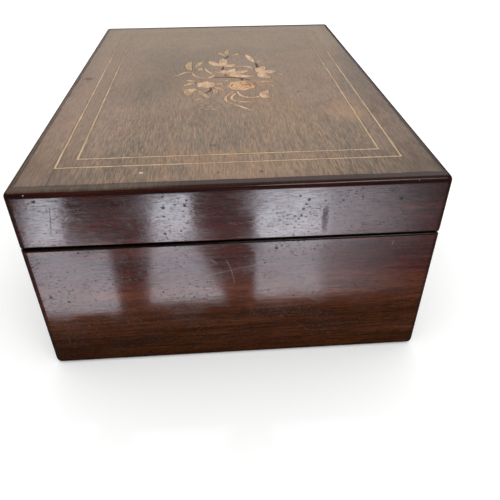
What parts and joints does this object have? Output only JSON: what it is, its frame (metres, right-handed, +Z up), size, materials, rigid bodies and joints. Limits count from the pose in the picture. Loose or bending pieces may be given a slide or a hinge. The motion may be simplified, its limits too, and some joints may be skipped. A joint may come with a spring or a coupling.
{
  "type": "inlaid wooden box",
  "caption": "Rectangular hinged box in polished veneer, its faded top inlaid with a flower bouquet inside two rectangles of light stringing, with hinges, a lock and a lined inside.",
  "frame": {"origin": "centre of the underside, on the surface that the box stands on", "axes": "+X along the length to the right end as the lock side is faced, -Y the front with the lock, +Y the back with the hinges, +Z up"},
  "size_m": [0.3, 0.2, 0.107],
  "materials": {
    "carcass_softwood": "bare planed pine, aged",
    "rosewood_gloss": "french polished rosewood, worn gloss",
    "rosewood_faded": "rosewood faded by light, thin satin polish",
    "boxwood_string": "boxwood, satin",
    "marquetry_light": "pale maple and boxwood, sand shaded, satin",
    "marquetry_warm": "warm fruitwood, sand shaded, satin",
    "marquetry_leaf": "stained holly faded to tan, satin",
    "marquetry_dark": "dark stained wood, satin",
    "brass_aged": "cast and rolled brass, aged",
    "steel_dark": "oiled steel, darkened",
    "velvet_lining": "worn cotton velvet over a thin wadding"
  },
  "bodies": {
    "base": {"base_front_board": "carcass_softwood", "base_back_board": "carcass_softwood", "base_left_board": "carcass_softwood", "base_right_board": "carcass_softwood", "bottom_board": "carcass_softwood", "bottom_nails": "steel_dark", "base_front_veneer": "rosewood_gloss", "base_back_veneer": "rosewood_gloss", "base_left_veneer": "rosewood_gloss", "base_right_veneer": "rosewood_gloss", "base_rim_facings": "rosewood_gloss", "floor_lining": "velvet_lining", "base_wall_linings": "velvet_lining", "hinge_left_lower_leaf": "brass_aged", "hinge_right_lower_leaf": "brass_aged", "hinge_left_pin": "steel_dark", "hinge_right_pin": "steel_dark", "hinge_lower_screws": "brass_aged", "lock_case": "brass_aged", "lock_cap": "brass_aged", "lock_selvedge": "brass_aged", "lock_key_pin": "steel_dark", "lock_spring": "steel_dark", "lock_screws": "brass_aged", "keyhole_escutcheon": "brass_aged"},
    "lid": {"lid_front_board": "carcass_softwood", "lid_back_board": "carcass_softwood", "lid_left_board": "carcass_softwood", "lid_right_board": "carcass_softwood", "lid_top_board": "carcass_softwood", "lid_front_veneer": "rosewood_gloss", "lid_back_veneer": "rosewood_gloss", "lid_left_veneer": "rosewood_gloss", "lid_right_veneer": "rosewood_gloss", "lid_rim_facings": "rosewood_gloss", "edging_front": "rosewood_gloss", "edging_back": "rosewood_gloss", "edging_left": "rosewood_gloss", "edging_right": "rosewood_gloss", "outer_border_sides": "rosewood_faded", "outer_border_ends": "rosewood_faded", "inner_border": "rosewood_faded", "outer_string": "boxwood_string", "inner_string": "boxwood_string", "top_field_veneer": "rosewood_faded", "marquetry_stems": "marquetry_dark", "marquetry_ribbons": "marquetry_light", "marquetry_leaves": "marquetry_leaf", "marquetry_lilies": "marquetry_light", "marquetry_flowers": "marquetry_light", "marquetry_rose": "marquetry_warm", "lid_lining_panel": "velvet_lining", "lid_wall_linings": "velvet_lining", "hinge_left_upper_leaf": "brass_aged", "hinge_right_upper_leaf": "brass_aged", "hinge_upper_screws": "brass_aged", "link_plate": "brass_aged", "link_screws": "brass_aged"},
    "bolt": {"lock_bolt": "steel_dark"}
  },
  "joints": [
    {"name": "lid_hinge", "type": "hinge", "parent": "base", "child": "lid", "pos_m": [0, 0.0983, 0.077], "axis": [-1, 0, 0], "range_deg": [0, 100]},
    {"name": "bolt_slide", "type": "slide", "parent": "base", "child": "bolt", "axis": [1, 0, 0], "range_m": [0, 0.0032]}
  ]
}
